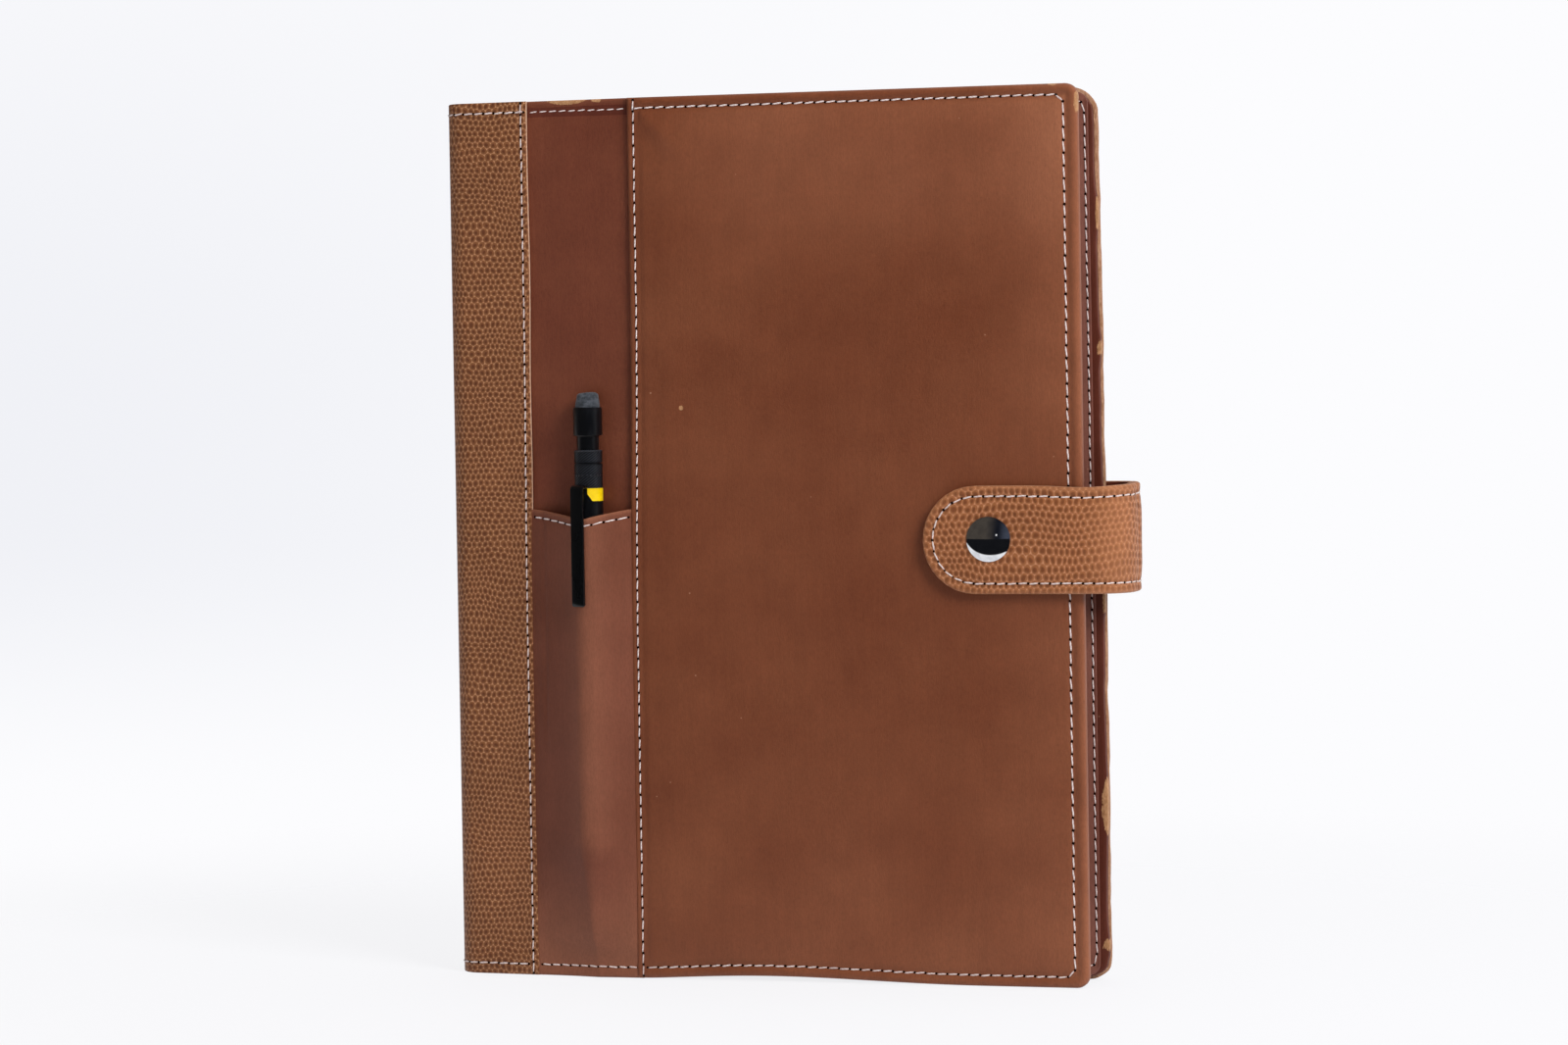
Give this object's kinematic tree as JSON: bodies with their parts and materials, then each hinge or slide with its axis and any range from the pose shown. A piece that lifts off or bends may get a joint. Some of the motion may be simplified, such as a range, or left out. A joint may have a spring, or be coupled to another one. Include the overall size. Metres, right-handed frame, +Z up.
{
  "type": "leather notebook cover",
  "caption": "Upright leather notebook cover with embossed spine, recessed strip with pen pocket and mechanical pencil, and a snap strap round the fore-edge.",
  "frame": {"origin": "middle of the bottom of the whole object, on the surface that the closed cover stands on", "axes": "+X from the spine to the fore-edge, +Y from the front cover to the back cover, +Z up"},
  "size_m": [0.192, 0.0313, 0.24],
  "materials": {
    "tan_embossed_leather": "embossed, semi-matt",
    "brown_leather": "smooth, soft sheen",
    "lining_leather": "smooth, matt",
    "board": "raw grey board",
    "card": "matt",
    "paper": "uncoated",
    "tape": "woven book cloth",
    "chrome": "polished",
    "black_metal": "satin black",
    "black_plastic": "satin black",
    "eraser": "worn, matt",
    "yellow_label": "printed film",
    "steel": "bright",
    "brass": "turned",
    "graphite": "matt"
  },
  "bodies": {
    "back_cover": {"back_leather": "tan_embossed_leather", "back_board": "board", "back_lining": "lining_leather", "back_sleeve": "lining_leather", "notebook_back_card": "card", "page_block": "paper", "binding_tape": "tape", "strap_tail_leather": "tan_embossed_leather", "strap_tail_lining": "lining_leather"},
    "spine": {"spine_leather": "tan_embossed_leather", "spine_backing": "board", "spine_lining": "lining_leather"},
    "front_cover": {"front_wrap": "tan_embossed_leather", "front_strip": "brown_leather", "pen_pocket": "brown_leather", "front_panel": "brown_leather", "front_board": "board", "front_lining": "lining_leather", "front_sleeve": "lining_leather", "notebook_front_card": "card", "snap_stud": "chrome", "snap_post": "chrome"},
    "strap_loop": {"strap_loop_leather": "tan_embossed_leather", "strap_loop_lining": "lining_leather"},
    "strap": {"strap_leather": "tan_embossed_leather", "strap_lining": "lining_leather", "snap_cap": "chrome", "snap_socket": "chrome"},
    "pencil": {"pencil_barrel": "black_plastic", "pencil_collar": "black_metal", "pencil_cone": "black_metal", "lead_sleeve": "steel", "pencil_label": "yellow_label", "pencil_clip": "black_metal", "pencil_spring": "steel"},
    "pencil_button": {"pencil_push_cap": "black_metal", "pencil_eraser": "eraser", "lead_tube": "black_plastic", "pencil_chuck": "brass", "pencil_lead": "graphite"}
  },
  "joints": [
    {"name": "spine_fold", "type": "hinge", "parent": "back_cover", "child": "spine", "pos_m": [-0.09424, 0.01099, 0.12], "axis": [0, 0, -1], "range_deg": [0, 90]},
    {"name": "front_fold", "type": "hinge", "parent": "spine", "child": "front_cover", "pos_m": [-0.09437, -0.0025, 0.12], "axis": [0, 0, -1], "range_deg": [0, 90]},
    {"name": "strap_swing", "type": "hinge", "parent": "back_cover", "child": "strap_loop", "pos_m": [0.09278, 0.01232, 0.1195], "axis": [0, 0, 1], "range_deg": [0, 120]},
    {"name": "strap_unfold", "type": "hinge", "parent": "strap_loop", "child": "strap", "pos_m": [0.09278, -0.00785, 0.1195], "axis": [0, 0, 1], "range_deg": [0, 120]},
    {"name": "pencil_slide", "type": "slide", "parent": "front_cover", "child": "pencil", "axis": [0, 0, 1], "range_m": [0, 0.125]},
    {"name": "pencil_push", "type": "slide", "parent": "pencil", "child": "pencil_button", "axis": [0, 0, -1], "range_m": [0, 0.0035], "stiffness_N_per_m": 400, "deforming": ["pencil_spring"]}
  ]
}
